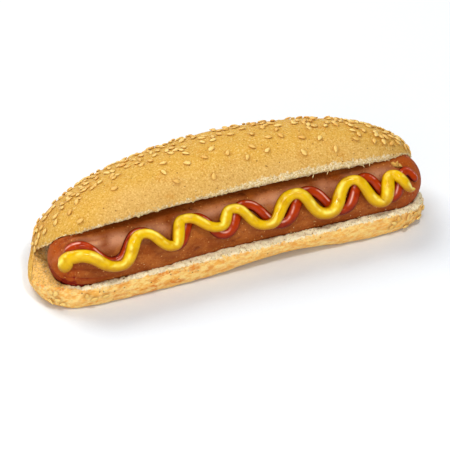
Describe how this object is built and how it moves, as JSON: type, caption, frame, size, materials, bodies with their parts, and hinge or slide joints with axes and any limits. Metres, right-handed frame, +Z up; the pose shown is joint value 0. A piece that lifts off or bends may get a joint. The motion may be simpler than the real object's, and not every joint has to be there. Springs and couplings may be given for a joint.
{
  "type": "hot dog",
  "caption": "Frankfurter in a side-sliced sesame roll that lies on its flat underside, lid open to the front, with waves of ketchup and mustard along the sausage.",
  "frame": {"origin": "middle of the roll's flat underside, on the surface it lies on", "axes": "+X along the roll and the sausage, -Y towards the open side of the roll, +Z up"},
  "size_m": [0.1787, 0.0681, 0.05],
  "materials": {
    "crust": "dry golden bread crust, soft sheen, speckled, with sesame",
    "crumb": "pale torn bread crumb, open pores, no gloss",
    "sesame": "hulled sesame seed, satin",
    "sausage": "smooth cooked sausage skin, greasy satin",
    "ketchup": "wet glossy tomato sauce",
    "mustard": "wet glossy yellow mustard"
  },
  "bodies": {
    "root": {"roll": "crust", "sausage": "sausage", "ketchup": "ketchup", "mustard": "mustard"}
  },
  "joints": []
}
